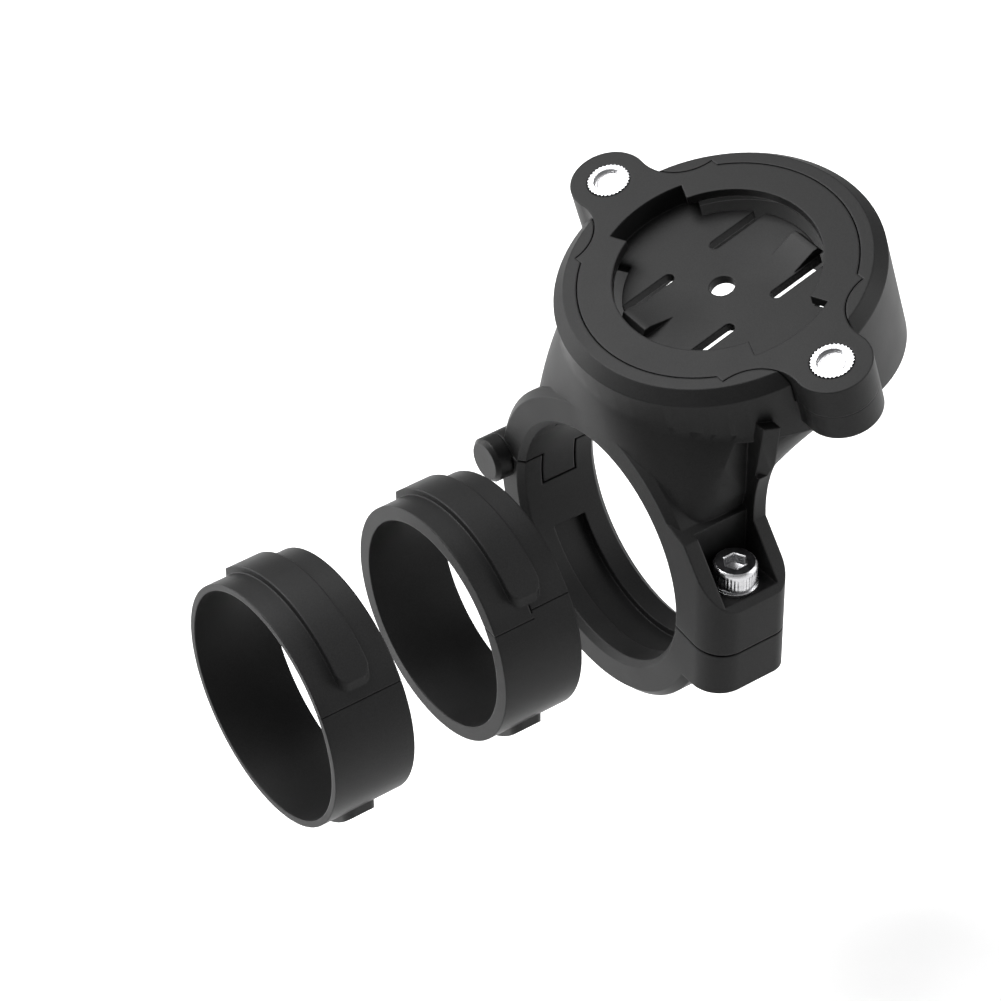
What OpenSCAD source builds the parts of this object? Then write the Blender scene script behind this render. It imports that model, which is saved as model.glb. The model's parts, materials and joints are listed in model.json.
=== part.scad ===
// Handlebar mount for a cycling computer: a hinged tube clamp, a concave
// neck, a tilted cup with a quarter-turn socket, and two reducing sleeves.
// Origin: centre of the clamp bore, half way across its width.
// +Z points up the neck, Y is the tube axis, +X is the bolt side.

/* [Clamp] */
// Diameter of the clamp bore
bore_d = 31.8; // [31.4:0.1:32.0]
// Width of the clamp along the tube
clamp_w = 12; // [11.8:0.1:12.4]
// Outer radius of the clamp ring
ring_r = 20.8; // [20.6:0.1:21.2]
// Gap between the arm half and the jaw half
split = 0.3; // [0.2:0.05:0.4]
// Chamfer at the mouths of the bore
bore_ch = 0.8; // [0.4:0.1:1]

/* [Hinge and bolt] */
// Distance of the hinge pin from the bore axis
pin_x = 20.2; // [20.1:0.1:20.4]
// Height of the hinge pin above the bore axis
pin_z = 1; // [0.8:0.1:1.2]
// Slope of the split towards the bolt side, in degrees
split_a = 6.3; // [5.5:0.1:7]
// Radius of the hinge pin
pin_r = 1.25; // [1.2:0.01:1.26]
// Distance of the clamp bolt from the bore axis
bolt_x = 20.3; // [20.2:0.1:20.4]
// Height of the bolt seat above the bore axis
seat_z = 5.4; // [5.2:0.1:5.6]

/* [Cup and puck] */
// Tilt of the cup towards the front
tilt = 15.5; // [15:0.5:17]
// Height of the middle of the puck face
puck_z = 35.2; // [35:0.1:36]
// Set-back of the middle of the puck face
puck_y = 12.1; // [11.8:0.1:12.4]
// Outer radius of the cup
cup_r = 20.6; // [20.5:0.1:20.8]
// Radius of the puck plate
plate_r = 17.3; // [17.2:0.1:17.5]
// Thickness of the puck
plate_t = 4.5; // [4.3:0.1:4.7]
// Radius of the quarter-turn opening
lip_r = 13; // [12.9:0.1:13.2]
// Distance of each ear hole from the middle
ear_x = 22; // [21.9:0.1:22.2]
// Radius of each ear
ear_r = 4.9; // [4.8:0.1:5]

/* [Sleeves] */
// Width of each sleeve
sleeve_w = 11.2; // [11:0.1:11.4]
// Inner radius of the thick sleeve
thick_ri = 13.7; // [13.5:0.1:14]
// Inner radius of the thin sleeve
thin_ri = 15.0; // [14.8:0.1:15.1]
// How far the pads stand proud
pad_h = 0.9; // [0.6:0.1:1]
// Place of the thick sleeve along the tube axis
thick_y = -25; // [-25.4:0.1:-25]
// Place of the thin sleeve along the tube axis
thin_y = -49.6; // [-50:0.1:-49.6]

/* [Hidden] */
bore_r = bore_d / 2;
hw = clamp_w / 2;
sleeve_r = bore_r - 0.05;
thick_ro = bore_r - 0.3;
undercut_r = 15.4;
cup_bore = 15.6;
plane_z = 0.6;
cup_base = 24;
ear_end = 24.3;
ear_low = -8.2;
ear_hi = 12.6;
web_y = 4.1;
fil = 6;
e = 0.01;

function fcx(r1, r2) = (pow(r1 + fil, 2) - pow(r2 + fil, 2) + ear_x * ear_x) / (2 * ear_x);
function fcy(r1, r2) = sqrt(pow(r1 + fil, 2) - pow(fcx(r1, r2), 2));

module along_y(h, r, y = 0) translate([0, y, 0]) rotate([90, 0, 0]) cylinder(h = h, r = r, center = true, $fn = 96);
module at_pin() translate([-pin_x, 0, pin_z]) children();
module above_split(c) translate([0, 0, plane_z]) rotate([0, split_a, 0]) translate([-50, -20, c]) cube([100, 40, 60]);
module below_split(c) translate([0, 0, plane_z]) rotate([0, split_a, 0]) translate([-50, -20, -60 - c]) cube([100, 40, 60]);
module in_cup() translate([0, puck_y, puck_z]) rotate([tilt, 0, 0]) children();

// Plate and ears seen from above, grown by c on every side
module ear_outline(r1, r2, c = 0) {
  cx = fcx(r1, r2);
  cy = fcy(r1, r2);
  circle(r = r1 + c, $fn = 128);
  for (s = [-1, 1]) {
    translate([s * ear_x, 0]) circle(r = r2 + c, $fn = 64);
    difference() {
      polygon([[0, 0], [s * cx * 0.6, cy], [s * cx, cy], [s * ear_x, r2 / 2], [s * ear_x, -r2 / 2], [s * cx, -cy], [s * cx * 0.6, -cy]]);
      for (t = [-1, 1]) translate([s * cx, t * cy]) circle(r = fil - c, $fn = 64);
      for (t = [-1, 1]) translate([s * (cx - 9.2), t * (cy + 3.2)]) circle(r = 1.5, $fn = 12);
    }
  }
}

// Half of a clamp ring with chamfered outer edges
module ring() rotate([90, 0, 0]) rotate_extrude($fn = 128)
  polygon([[bore_r, -hw], [ring_r - 0.9, -hw], [ring_r, -hw + 0.9], [ring_r, hw - 0.9], [ring_r - 0.9, hw], [bore_r, hw]]);

module bore_cut() {
  along_y(60, bore_r);
  for (s = [-1, 1]) rotate([90, 0, 0]) translate([0, 0, s * (hw - bore_ch / 2 + e)])
    cylinder(h = bore_ch + 2 * e, r1 = bore_r + (s < 0 ? bore_ch : 0), r2 = bore_r + (s < 0 ? 0 : bore_ch), center = true, $fn = 96);
}

// Plan of the bolt ears, with a large front corner
module ear_plan() {
  translate([12, -hw + 4]) square([ear_end - 12, 2 * hw - 6.5]);
  translate([12, -hw]) square([ear_end - 16, 2 * hw]);
  translate([ear_end - 4, -hw + 4]) circle(r = 4, $fn = 48);
  translate([ear_end - 2.5, hw - 2.5]) circle(r = 2.5, $fn = 48);
  translate([ear_end - 5, hw - 2.5]) square([2.5, 2.5]);
}

// Recess for the sleeve pads
module pad_recess(a0, a1, r = 16.9, w = 4.8) rotate([90, 0, 0]) rotate([0, 0, a0])
  rotate_extrude(angle = a1 - a0, $fn = 96) translate([10, -w / 2]) square([r - 10, w]);

// Neck sections: a rounded box at the clamp that opens into the cup
neck_z0 = 7;
neck_z1 = 25.4;
neck_n = 48;
neck_m = 14;
function nt(i) = i / neck_m;
function nz(i) = neck_z0 + (neck_z1 - neck_z0) * nt(i);
function nx(i) = 16 + 4.4 * pow(nt(i), 2.2);
function nfront(i) = -hw + 0.15 - 0.6 * pow(nt(i), 2);
function nback(i) = hw - 0.15 + 30.2 * pow(nt(i), 2.2);
function nexp(i) = 0.36 + 0.64 * pow(nt(i), 1.2);
function spow(v, p) = sign(v) * pow(abs(v), p);
neck_pts = [for (i = [0:neck_m]) for (j = [0:neck_n - 1])
  let (a = 360 * (j + 0.5) / neck_n, b = (nback(i) - nfront(i)) / 2, c = (nback(i) + nfront(i)) / 2)
  [nx(i) * spow(cos(a), nexp(i)), c + b * spow(sin(a), nexp(i)), nz(i)]];
neck_faces = concat(
  [[for (j = [0:neck_n - 1]) j]],
  [[for (j = [neck_n - 1:-1:0]) neck_m * neck_n + j]],
  [for (i = [0:neck_m - 1]) for (j = [0:neck_n - 1])
    [i * neck_n + j, (i + 1) * neck_n + j, (i + 1) * neck_n + (j + 1) % neck_n]],
  [for (i = [0:neck_m - 1]) for (j = [0:neck_n - 1])
    [i * neck_n + j, (i + 1) * neck_n + (j + 1) % neck_n, i * neck_n + (j + 1) % neck_n]]);
module neck() polyhedron(points = neck_pts, faces = neck_faces, convexity = 4);

module arm_body() color([0.075, 0.075, 0.08]) difference() {
  union() {
    difference() {
      union() {
        neck();
        // cup wall, cut off level underneath
        intersection() {
          in_cup() rotate_extrude($fn = 128) polygon([[0, -30], [cup_r, -30], [cup_r, -1.5], [cup_r - 1.5, 0], [0, 0]]);
          translate([-40, -40, cup_base]) cube([80, 100, 40]);
        }
        // ears under the puck ears
        in_cup() translate([0, 0, -plate_t - 3.8]) linear_extrude(3.8) ear_outline(plate_r, ear_r);
        // thin outer rim beside the key channel
        intersection() {
          translate([0, hw, 0]) rotate([90, 0, 0]) linear_extrude(hw - web_y) difference() {
            translate([11, 6]) square([12, 21]);
            translate([38.4, 13.5]) circle(r = 20, $fn = 128);
          }
          union() {
            translate([0, -10, 0]) cube([40, 30, 19]);
            in_cup() translate([0, 0, -30]) cylinder(h = 40, r = cup_r + 1.4, $fn = 96);
          }
        }
      }
      in_cup() translate([0, 0, -60]) cylinder(h = 70, r = cup_bore, $fn = 96);
    }
    intersection() {
      ring();
      above_split(split / 2);
    }
    // bolt ear with a sloped top
    intersection() {
      translate([0, 0, -6]) linear_extrude(26) ear_plan();
      translate([0, 20, 0]) rotate([90, 0, 0]) linear_extrude(40)
        polygon([[12, -6], [ear_end, -6], [ear_end, 4.7], [17.9, ear_hi], [12, ear_hi + 2]]);
      above_split(split / 2);
    }
    // hinge tongue
    at_pin() along_y(4.8, 3);
    intersection() {
      ring();
      translate([-pin_x, -2.4, pin_z - 3.3]) cube([10, 4.8, 9]);
    }
  }
  bore_cut();
  // seat for the puck
  in_cup() translate([0, 0, -plate_t]) linear_extrude(12) ear_outline(plate_r, ear_r, 0.15);
  for (s = [-1, 1]) in_cup() translate([s * ear_x, 0, -20]) cylinder(h = 24, r = 1.6, $fn = 48);
  for (s = [-1, 1]) in_cup() translate([s * ear_x, 0, -28]) cylinder(h = 28 - plate_t - 3.8, r = 3, $fn = 48);
  // pad recess
  pad_recess(32, 148);
  // bolt pocket and key channel
  translate([17.1, -3.9, seat_z]) cube([6.4, web_y + 3.9, cup_base - seat_z]);
  translate([16.8, -20, ear_hi + 0.6]) cube([12, 20 + web_y, cup_base - ear_hi - 0.6]);
  translate([bolt_x, 0, -8]) cylinder(h = 20, r = 1.6, $fn = 48);
  // hinge: pin hole, and room for the jaw forks
  at_pin() along_y(40, pin_r + 0.05);
  for (s = [-1, 1]) at_pin() along_y(10, 3.3, s * 7.4);
}

// Sector of a disc, centred on +X
module sector(r, half) intersection() {
  circle(r = r, $fn = 128);
  polygon([[0, 0], [30, -30 * tan(half)], [30, 30 * tan(half)]]);
}

module quarter_turn_puck() color([0.085, 0.085, 0.09]) in_cup() {
  // lip with two entry notches
  difference() {
    translate([0, 0, -1.3]) linear_extrude(1.3) difference() {
      ear_outline(plate_r, ear_r);
      circle(r = lip_r, $fn = 128);
      for (s = [0, 180]) rotate([0, 0, s]) sector(undercut_r, 21.5);
    }
    for (s = [-1, 1]) translate([s * ear_x, 0, -plate_t - 1]) cylinder(h = 8, r = 2.74, $fn = 48);
  }
  // wall round the undercut
  difference() {
    translate([0, 0, -3.2]) linear_extrude(1.9) difference() {
      ear_outline(plate_r, ear_r);
      circle(r = undercut_r, $fn = 128);
    }
    for (s = [-1, 1]) translate([s * ear_x, 0, -plate_t - 1]) cylinder(h = 8, r = 2.74, $fn = 48);
  }
  // floor with two slotted tongues
  difference() {
    translate([0, 0, -plate_t]) linear_extrude(plate_t - 3.2) difference() {
      ear_outline(plate_r, ear_r);
      difference() {
        circle(r = undercut_r, $fn = 128);
        circle(r = 12.4, $fn = 128);
        for (s = [0, 180]) rotate([0, 0, s]) sector(undercut_r + 1, 27);
      }
      for (sx = [-1, 1], sy = [-1, 1]) {
        translate([sx * 6 - 0.75, sy > 0 ? 3.75 : -13.5]) square([1.5, 9.75]);
        translate([sx * 6, sy * 3.75]) circle(r = 0.75, $fn = 24);
      }
      circle(r = 1.6, $fn = 48);
    }
    for (s = [-1, 1]) translate([s * ear_x, 0, -plate_t - 1]) cylinder(h = 8, r = 2.74, $fn = 48);
  }
  // detent ramps on the tongues
  for (s = [0, 180]) rotate([0, 0, s]) translate([0.6, 6.9, -3.3]) rotate([90, 0, 90])
    linear_extrude(4.4) polygon([[0, 0], [5, 0], [5, 0.2], [4.4, 1.2], [3.6, 1.2]]);
}

module insert(s) color([0.86, 0.86, 0.87]) in_cup() translate([s * ear_x, 0, -4.3]) difference() {
  union() {
    cylinder(h = 3.2, r = 2.45, $fn = 48);
    translate([0, 0, 3.2]) linear_extrude(1.2) polygon([for (i = [0:63]) let (r = i % 2 == 0 ? 2.7 : 2.5) [r * cos(i * 5.625), r * sin(i * 5.625)]]);
  }
  translate([0, 0, -1]) cylinder(h = 8, r = 1.52, $fn = 48);
  translate([0, 0, 3.9]) cylinder(h = 1, r = 1.9, $fn = 48);
}
module insert_left() insert(-1);
module insert_right() insert(1);

module puck_screw(s) color([0.7, 0.7, 0.71]) in_cup() translate([s * ear_x, 0, 0]) difference() {
  union() {
    translate([0, 0, -8.3]) cylinder(h = 7.9, r = 1.5, $fn = 48);
    translate([0, 0, -10.3]) cylinder(h = 2, r = 2.75, $fn = 48);
  }
  translate([0, 0, -10.4]) cylinder(h = 1.4, r = 1.15, $fn = 6);
}
module puck_screw_left() puck_screw(-1);
module puck_screw_right() puck_screw(1);

module hinge_pin() color([0.06, 0.06, 0.065]) at_pin() rotate([90, 0, 0]) {
  translate([0, 0, -hw]) cylinder(h = 2 * hw + 0.5, r = pin_r, $fn = 48);
  translate([0, 0, hw + 0.1]) rotate_extrude($fn = 64) polygon([[0, 0], [3, 0], [3, 1.9], [2.5, 2.4], [0, 2.4]]);
}

module clamp_jaw() color([0.075, 0.075, 0.08]) difference() {
  union() {
    intersection() {
      ring();
      below_split(split / 2);
    }
    intersection() {
      translate([0, 0, ear_low]) linear_extrude(12) ear_plan();
      below_split(split / 2);
    }
    for (s = [-1, 1]) at_pin() along_y(hw - 2.7, 3, s * (hw + 2.7) / 2);
  }
  bore_cut();
  pad_recess(212, 344);
  at_pin() along_y(40, pin_r + 0.05);
  at_pin() along_y(5.4, 3.3);
  translate([-pin_x - 4, -2.7, pin_z - 3.6]) cube([10, 5.4, 12]);
  translate([bolt_x, 0, -20]) cylinder(h = 30, r = 2.3, $fn = 48);
  translate([bolt_x, 0, ear_low - 1]) cylinder(h = 4.2, r = 5.6 / sqrt(3), $fn = 6);
}

module clamp_nut() color([0.7, 0.7, 0.71]) translate([bolt_x, 0, ear_low + 0.7]) difference() {
  cylinder(h = 2.4, r = 5.5 / sqrt(3), $fn = 6);
  translate([0, 0, -1]) cylinder(h = 5, r = 1.85, $fn = 48);
}

module clamp_washer() color([0.75, 0.75, 0.76]) translate([bolt_x, 0, seat_z]) difference() {
  cylinder(h = 0.5, r = 2.9, $fn = 48);
  translate([0, 0, -1]) cylinder(h = 3, r = 1.56, $fn = 48);
}

module clamp_bolt() color([0.82, 0.82, 0.83]) translate([bolt_x, 0, seat_z + 0.5]) difference() {
  union() {
    rotate_extrude($fn = 64) polygon([[0, 0], [2.6, 0], [2.75, 0.15], [2.75, 2.7], [2.45, 3], [0, 3]]);
    translate([0, 0, ear_low + 0.4 - seat_z - 0.5]) cylinder(h = seat_z + 0.5 - ear_low - 0.2, r = 1.5, $fn = 48);
  }
  translate([0, 0, 1.5]) cylinder(h = 2, r = 2.5 / sqrt(3), $fn = 6);
}

// One rounded pad, seen from above
module pad_plan(x0, x1, w = 4.4, r = 1.2) {
  translate([x0 + r, -w / 2]) square([x1 - x0 - 2 * r, w]);
  translate([x0, -w / 2 + r]) square([x1 - x0, w - 2 * r]);
  for (x = [x0 + r, x1 - r], y = [-w / 2 + r, w / 2 - r]) translate([x, y]) circle(r = r, $fn = 24);
}

module sleeve(ri, ro, y0, pad_x) translate([0, y0, 0]) difference() {
  union() {
    along_y(sleeve_w, ro);
    intersection() {
      along_y(sleeve_w, ro + pad_h);
      union() {
        translate([0, 0, 4]) linear_extrude(20) pad_plan(-13.2, pad_x);
        translate([0, 0, -24]) linear_extrude(20) pad_plan(-13.2, 12.6);
      }
    }
  }
  along_y(sleeve_w + 2, ri);
  children();
}

// Slit through a sleeve wall, slanted so that light does not pass
module slit(a, r, y0, y1) rotate([0, a, 0]) translate([r, y0, 0]) rotate([0, 35, 0]) translate([-4, 0, -0.07]) cube([8, y1 - y0, 0.14]);

module thick_sleeve() color([0.08, 0.08, 0.085]) sleeve(thick_ri, thick_ro, thick_y, 12.4) {
  // stepped slit
  slit(-33, 14.5, -8, 0.1);
  slit(-37, 14.5, 0, 8);
  rotate([90, 0, 0]) rotate([0, 0, 32.9]) rotate_extrude(angle = 4.2, $fn = 96) translate([12, -0.1]) square([8, 0.16]);
}

module thin_sleeve() color([0.08, 0.08, 0.085]) sleeve(thin_ri, sleeve_r, thin_y, 12.6) {
  slit(-33, 15.4, -8, 8);
}

arm_body();
quarter_turn_puck();
insert_left();
insert_right();
puck_screw_left();
puck_screw_right();
hinge_pin();
clamp_jaw();
clamp_nut();
clamp_washer();
clamp_bolt();
thick_sleeve();
thin_sleeve();
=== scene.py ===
import json
import math
import bpy
import bmesh
from mathutils import Vector, Matrix


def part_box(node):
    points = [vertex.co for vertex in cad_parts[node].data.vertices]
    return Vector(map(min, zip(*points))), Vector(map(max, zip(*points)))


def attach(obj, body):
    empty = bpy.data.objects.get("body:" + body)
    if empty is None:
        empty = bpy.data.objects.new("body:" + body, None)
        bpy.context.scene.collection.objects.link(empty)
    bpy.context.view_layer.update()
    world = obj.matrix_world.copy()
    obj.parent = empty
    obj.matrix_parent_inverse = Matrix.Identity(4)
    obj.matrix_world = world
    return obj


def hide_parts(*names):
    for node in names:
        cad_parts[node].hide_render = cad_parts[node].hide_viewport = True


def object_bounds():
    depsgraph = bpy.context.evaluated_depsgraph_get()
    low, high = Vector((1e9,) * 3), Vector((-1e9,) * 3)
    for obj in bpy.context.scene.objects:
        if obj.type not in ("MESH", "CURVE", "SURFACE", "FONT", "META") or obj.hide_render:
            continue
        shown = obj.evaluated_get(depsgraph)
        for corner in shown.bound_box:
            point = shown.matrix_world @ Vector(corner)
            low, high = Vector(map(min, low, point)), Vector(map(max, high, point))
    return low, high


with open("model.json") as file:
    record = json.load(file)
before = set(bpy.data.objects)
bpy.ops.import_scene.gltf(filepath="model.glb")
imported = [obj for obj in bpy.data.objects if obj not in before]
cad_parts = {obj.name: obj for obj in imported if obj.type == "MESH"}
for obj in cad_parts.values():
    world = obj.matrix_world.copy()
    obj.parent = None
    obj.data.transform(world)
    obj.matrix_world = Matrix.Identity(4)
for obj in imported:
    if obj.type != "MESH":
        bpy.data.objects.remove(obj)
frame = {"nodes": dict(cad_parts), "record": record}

lo0, hi0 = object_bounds()
nodes = frame["nodes"]
scene = bpy.context.scene


# ---------------------------------------------------------------- camera
RIGHT = Vector((0.583, 0.818, -0.008)).normalized()
BACK = Vector((0.618, -0.431, 0.654)).normalized()
UP = BACK.cross(RIGHT).normalized()
RIGHT = UP.cross(BACK).normalized()
cam_data = bpy.data.cameras.new("camera")
cam_data.sensor_width = 36.0
cam_data.lens = 143.86
cam_data.clip_start = 0.005
cam_data.clip_end = 10.0
cam = bpy.data.objects.new("camera", cam_data)
scene.collection.objects.link(cam)
eye = -(RIGHT * 0.0166 + UP * -0.00325 + BACK * -0.500)
cam.matrix_world = Matrix((
    (RIGHT.x, UP.x, BACK.x, eye.x),
    (RIGHT.y, UP.y, BACK.y, eye.y),
    (RIGHT.z, UP.z, BACK.z, eye.z),
    (0, 0, 0, 1)))
scene.camera = cam
scene.view_settings.view_transform = "Standard"


# ------------------------------------------------------------- materials
def new_material(name):
    m = bpy.data.materials.new(name)
    m.use_nodes = True
    nt = m.node_tree
    bsdf = next(n for n in nt.nodes if n.type == "BSDF_PRINCIPLED")
    return m, nt, bsdf


def link(nt, a, b):
    nt.links.new(a, b)


def noise(nt, scale, detail=3.0, rough=0.55):
    coord = nt.nodes.new("ShaderNodeTexCoord")
    n = nt.nodes.new("ShaderNodeTexNoise")
    n.inputs["Scale"].default_value = scale
    n.inputs["Detail"].default_value = detail
    n.inputs["Roughness"].default_value = rough
    link(nt, coord.outputs["Object"], n.inputs["Vector"])
    return n


def ramp(nt, src, p0, c0, p1, c1):
    r = nt.nodes.new("ShaderNodeValToRGB")
    r.color_ramp.elements[0].position = p0
    r.color_ramp.elements[0].color = (*c0, 1)
    r.color_ramp.elements[1].position = p1
    r.color_ramp.elements[1].color = (*c1, 1)
    link(nt, src, r.inputs["Fac"])
    return r


def edge_mask(nt, radius, low, high):
    bev = nt.nodes.new("ShaderNodeBevel")
    bev.samples = 6
    bev.inputs["Radius"].default_value = radius
    geo = nt.nodes.new("ShaderNodeNewGeometry")
    dot = nt.nodes.new("ShaderNodeVectorMath")
    dot.operation = "DOT_PRODUCT"
    link(nt, bev.outputs["Normal"], dot.inputs[0])
    link(nt, geo.outputs["Normal"], dot.inputs[1])
    rng = nt.nodes.new("ShaderNodeMapRange")
    rng.inputs["From Min"].default_value = high
    rng.inputs["From Max"].default_value = low
    link(nt, dot.outputs["Value"], rng.inputs["Value"])
    return bev, rng.outputs["Result"]


def moulded(name, tone, rough, seed_scale):
    """Fine-textured black moulded plastic."""
    m, nt, b = new_material(name)
    big = noise(nt, 70.0 * seed_scale, 4.0)
    cloud = ramp(nt, big.outputs["Fac"], 0.35, (tone * 0.82,) * 3, 0.68, (tone * 1.2, tone * 1.2, tone * 1.23))
    fine = noise(nt, 5200.0, 2.0, 0.6)
    speck = ramp(nt, fine.outputs["Fac"], 0.4, (0.85,) * 3, 0.62, (1.2,) * 3)
    mul = nt.nodes.new("ShaderNodeMix")
    mul.data_type = "RGBA"
    mul.blend_type = "MULTIPLY"
    mul.inputs["Factor"].default_value = 1.0
    link(nt, cloud.outputs["Color"], mul.inputs["A"])
    link(nt, speck.outputs["Color"], mul.inputs["B"])
    bev, wear = edge_mask(nt, 0.00028, 0.80, 0.985)
    worn = nt.nodes.new("ShaderNodeMix")
    worn.data_type = "RGBA"
    worn.inputs["B"].default_value = (tone * 2.6, tone * 2.6, tone * 2.7, 1)
    wn = noise(nt, 420.0, 4.0)
    wr = ramp(nt, wn.outputs["Fac"], 0.35, (0.25,) * 3, 0.7, (0.9,) * 3)
    wm = nt.nodes.new("ShaderNodeMath")
    wm.operation = "MULTIPLY"
    wm.use_clamp = True
    link(nt, wear, wm.inputs[0])
    link(nt, wr.outputs["Color"], wm.inputs[1])
    link(nt, wm.outputs["Value"], worn.inputs["Factor"])
    link(nt, mul.outputs["Result"], worn.inputs["A"])
    link(nt, worn.outputs["Result"], b.inputs["Base Color"])
    rr = ramp(nt, big.outputs["Fac"], 0.3, (rough - 0.05,) * 3, 0.7, (rough + 0.06,) * 3)
    link(nt, rr.outputs["Color"], b.inputs["Roughness"])
    bump = nt.nodes.new("ShaderNodeBump")
    bump.inputs["Strength"].default_value = 0.32
    bump.inputs["Distance"].default_value = 0.00004
    link(nt, fine.outputs["Fac"], bump.inputs["Height"])
    link(nt, bev.outputs["Normal"], bump.inputs["Normal"])
    link(nt, bump.outputs["Normal"], b.inputs["Normal"])
    b.inputs["Specular IOR Level"].default_value = 0.16
    return m


def metal(name, tone, rough, grain, streak=False):
    m, nt, b = new_material(name)
    n1 = noise(nt, 260.0, 4.0)
    c = ramp(nt, n1.outputs["Fac"], 0.3, tuple(t * 0.86 for t in tone), 0.7, tone)
    bev, wear = edge_mask(nt, 0.00009, 0.75, 0.97)
    mix = nt.nodes.new("ShaderNodeMix")
    mix.data_type = "RGBA"
    mix.inputs["B"].default_value = (0.75, 0.75, 0.75, 1)
    link(nt, wear, mix.inputs["Factor"])
    link(nt, c.outputs["Color"], mix.inputs["A"])
    link(nt, mix.outputs["Result"], b.inputs["Base Color"])
    b.inputs["Metallic"].default_value = 1.0
    n2 = noise(nt, grain, 3.0)
    rr = ramp(nt, n2.outputs["Fac"], 0.3, (max(rough - 0.07, 0.05),) * 3, 0.7, (rough + 0.1,) * 3)
    link(nt, rr.outputs["Color"], b.inputs["Roughness"])
    bump = nt.nodes.new("ShaderNodeBump")
    bump.inputs["Strength"].default_value = 0.18
    bump.inputs["Distance"].default_value = 0.00002
    link(nt, n2.outputs["Fac"], bump.inputs["Height"])
    link(nt, bev.outputs["Normal"], bump.inputs["Normal"])
    link(nt, bump.outputs["Normal"], b.inputs["Normal"])
    return m


mats = {
    "body_plastic": moulded("body_plastic", 0.0060, 0.50, 1.0),
    "puck_plastic": moulded("puck_plastic", 0.0066, 0.53, 1.3),
    "sleeve_plastic": moulded("sleeve_plastic", 0.0062, 0.48, 0.8),
    "insert_metal": metal("insert_metal", (0.55, 0.55, 0.56), 0.30, 1800.0),
    "screw_metal": metal("screw_metal", (0.40, 0.40, 0.41), 0.34, 1500.0),
    "bolt_metal": metal("bolt_metal", (0.52, 0.52, 0.53), 0.27, 1500.0),
    "bolt_dark": metal("bolt_dark", (0.09, 0.09, 0.095), 0.36, 1500.0),
    "pin_black": moulded("pin_black", 0.0062, 0.42, 1.1),
}
slot_of = {s["node"]: s["material_slot"] for s in frame["record"]["subparts"]}
for name, ob in nodes.items():
    mat = mats[slot_of[name]]
    if ob.material_slots:
        for sl in ob.material_slots:
            sl.material = mat
    else:
        ob.data.materials.append(mat)
    # weld the shading seams, then keep only real edges sharp
    weld = ob.modifiers.new("weld", "WELD")
    weld.merge_threshold = 0.000002


# --------------------------------------------------------- smooth shading
def angle_group():
    """Geometry nodes that shade a mesh smooth below a given edge angle."""
    g = bpy.data.node_groups.new("smooth_below_angle", "GeometryNodeTree")
    g.interface.new_socket("Geometry", in_out="INPUT", socket_type="NodeSocketGeometry")
    g.interface.new_socket("Geometry", in_out="OUTPUT", socket_type="NodeSocketGeometry")
    gi = g.nodes.new("NodeGroupInput")
    go = g.nodes.new("NodeGroupOutput")
    ang = g.nodes.new("GeometryNodeInputMeshEdgeAngle")
    cmp_ = g.nodes.new("FunctionNodeCompare")
    cmp_.data_type = "FLOAT"
    cmp_.operation = "LESS_EQUAL"
    cmp_.inputs[1].default_value = math.radians(28)
    g.links.new(ang.outputs["Unsigned Angle"], cmp_.inputs[0])
    face = g.nodes.new("GeometryNodeSetShadeSmooth")
    face.domain = "FACE"
    face.inputs["Shade Smooth"].default_value = True
    edge = g.nodes.new("GeometryNodeSetShadeSmooth")
    edge.domain = "EDGE"
    g.links.new(gi.outputs[0], face.inputs["Geometry"])
    g.links.new(face.outputs["Geometry"], edge.inputs["Geometry"])
    g.links.new(cmp_.outputs["Result"], edge.inputs["Shade Smooth"])
    g.links.new(edge.outputs["Geometry"], go.inputs[0])
    return g


smooth_group = angle_group()
for ob in nodes.values():
    md = ob.modifiers.new("smooth", "NODES")
    md.node_group = smooth_group


# ---------------------------------------------------- detailed new pieces
def add_mesh(name, verts, faces, body, mat_slot, smooth=True):
    me = bpy.data.meshes.new(name)
    me.from_pydata([tuple(v) for v in verts], [], faces)
    me.validate()
    bm = bmesh.new()
    bm.from_mesh(me)
    bmesh.ops.remove_doubles(bm, verts=bm.verts, dist=1e-7)
    bmesh.ops.recalc_face_normals(bm, faces=bm.faces)
    bm.to_mesh(me)
    bm.free()
    ob = bpy.data.objects.new(name, me)
    scene.collection.objects.link(ob)
    me.materials.append(mats[mat_slot])
    if smooth:
        md = ob.modifiers.new("smooth", "NODES")
        md.node_group = smooth_group
    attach(ob, body)
    return ob


def hex_r(theta, apothem):
    t = (theta + math.pi / 6) % (math.pi / 3) - math.pi / 6
    return apothem / math.cos(t)


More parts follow.
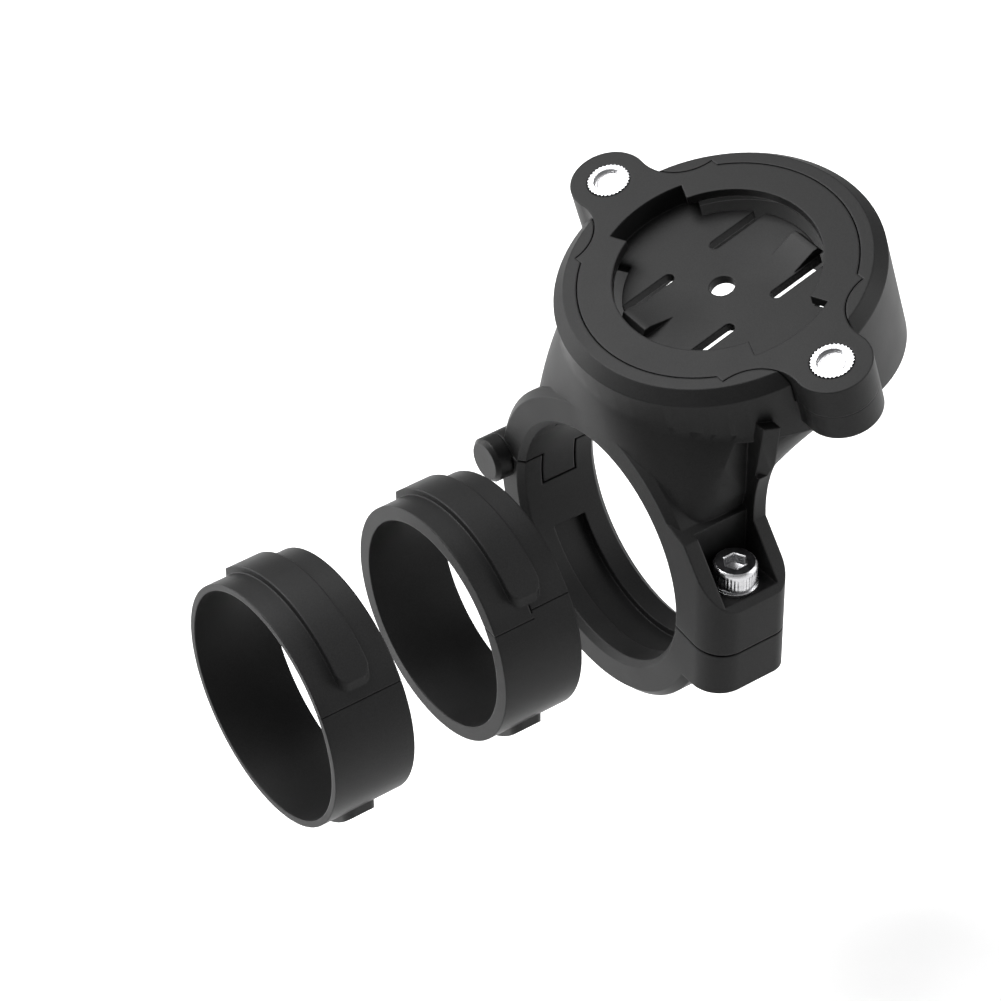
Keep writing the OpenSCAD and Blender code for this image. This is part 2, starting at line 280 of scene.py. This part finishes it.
def screw_mesh(name, base, axis, head_r, head_h, shank, r, pitch, sock, sock_depth, teeth, body, slot):
    """Socket-head screw: knurled head, hexagon socket, threaded shank. base is under the head; axis points out of the head."""
    seg = teeth * 4
    rings = []

    def ring(z, fn):
        rings.append([(fn(2 * math.pi * i / seg) * math.cos(2 * math.pi * i / seg),
                       fn(2 * math.pi * i / seg) * math.sin(2 * math.pi * i / seg), z) for i in range(seg)])

    def tooth(depth):
        return lambda t: head_r - depth * (0.5 - 0.5 * math.cos(teeth * t))

    core = r - 0.61 * pitch * 0.9
    n = int(shank / pitch * 10)
    ring(-shank, lambda t: core * 0.55)
    for i in range(n + 1):
        z = -shank + i * shank / n
        fade = min(1.0, (z + shank) / (pitch * 1.2), (-z) / (pitch * 1.2))
        fade = max(0.0, fade)
        ring(z, lambda t, z=z, fade=fade: core + (r - core) * (
            1 - abs(2 * (((z / pitch - t / (2 * math.pi)) % 1.0)) - 1)) * fade)
    ring(0.0, lambda t: head_r * 0.93)
    ring(head_h * 0.06, lambda t: head_r * 0.975)
    for k in range(0, 7):
        z = head_h * (0.12 + 0.68 * k / 6)
        d = 0.00009 if 0 < k < 6 else 0.00002
        ring(z, tooth(d))
    ring(head_h * 0.86, lambda t: head_r * 0.99)
    ring(head_h * 0.95, lambda t: head_r * 0.955)
    ring(head_h, lambda t: head_r * 0.89)
    ring(head_h, lambda t: hex_r(t, sock) + 0.00016)
    ring(head_h - 0.00012, lambda t: hex_r(t, sock))
    ring(head_h - sock_depth, lambda t: hex_r(t, sock))
    ring(head_h - sock_depth - 0.0003, lambda t: hex_r(t, sock) * 0.35)
    verts = [v for rg in rings for v in rg]
    faces = []
    for a in range(len(rings) - 1):
        for i in range(seg):
            j = (i + 1) % seg
            faces.append((a * seg + i, a * seg + j, (a + 1) * seg + j, (a + 1) * seg + i))
    faces.append(tuple(reversed(range(seg))))
    faces.append(tuple((len(rings) - 1) * seg + i for i in range(seg)))
    rot = Vector((0, 0, 1)).rotation_difference(Vector(axis).normalized()).to_matrix()
    verts = [rot @ Vector(v) + Vector(base) for v in verts]
    ob = add_mesh(name, verts, faces, body, slot)
    ob.data.materials.append(mats["bolt_dark"])
    up = rot @ Vector((0, 0, 1))
    for p in ob.data.polygons:
        h = (p.center - Vector(base)).dot(up)
        if p.normal.dot(up) > 0.95 and abs(h - head_h) < 0.00013:
            p.material_index = 1
    return ob


blo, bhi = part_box("clamp_bolt")
bx, by = (blo.x + bhi.x) / 2, (blo.y + bhi.y) / 2
seat = bhi.z - 0.003
bolt = screw_mesh("clamp_bolt_detailed", (bx, by, seat), (0, 0, 1), 0.00275, 0.003,
                  seat - blo.z, 0.0015, 0.0005, 0.00125, 0.0014, 40, "bolt", "bolt_metal")
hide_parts("clamp_bolt")


# ------------------------------------------------------- floor and lights
floor_z = lo0.z - 0.040
me = bpy.data.meshes.new("floor")
s = 3.0
me.from_pydata([(-s, -s, floor_z), (s, -s, floor_z), (s, s, floor_z), (-s, s, floor_z)], [], [(0, 1, 2, 3)])
floor = bpy.data.objects.new("floor", me)
scene.collection.objects.link(floor)
fm, fnt, fb = new_material("floor_pale")
fb.inputs["Base Color"].default_value = (0.93, 0.93, 0.93, 1)
fb.inputs["Roughness"].default_value = 0.9
fb.inputs["Specular IOR Level"].default_value = 0.1
me.materials.append(fm)

world = bpy.data.worlds.new("studio")
world.use_nodes = True
bg = next(n for n in world.node_tree.nodes if n.type == "BACKGROUND")
bg.inputs["Color"].default_value = (1, 1, 1, 1)
bg.inputs["Strength"].default_value = 0.42
scene.world = world


def area(name, where, target, size, power):
    d = bpy.data.lights.new(name, "AREA")
    d.shape = "RECTANGLE"
    d.size, d.size_y = size
    d.energy = power
    o = bpy.data.objects.new(name, d)
    scene.collection.objects.link(o)
    o.location = where
    o.rotation_mode = "QUATERNION"
    o.rotation_quaternion = (Vector(target) - Vector(where)).to_track_quat("-Z", "Y")
    return o


c = (lo0 + hi0) / 2
area("key", c + UP * 0.34 + RIGHT * -0.22 + BACK * 0.16, c, (0.32, 0.32), 4.2)
area("fill", c + RIGHT * 0.42 + UP * 0.10 + BACK * 0.05, c, (0.22, 0.4), 1.7)
area("rim", c + RIGHT * -0.34 + UP * 0.05 + BACK * -0.12, c, (0.2, 0.4), 1.5)
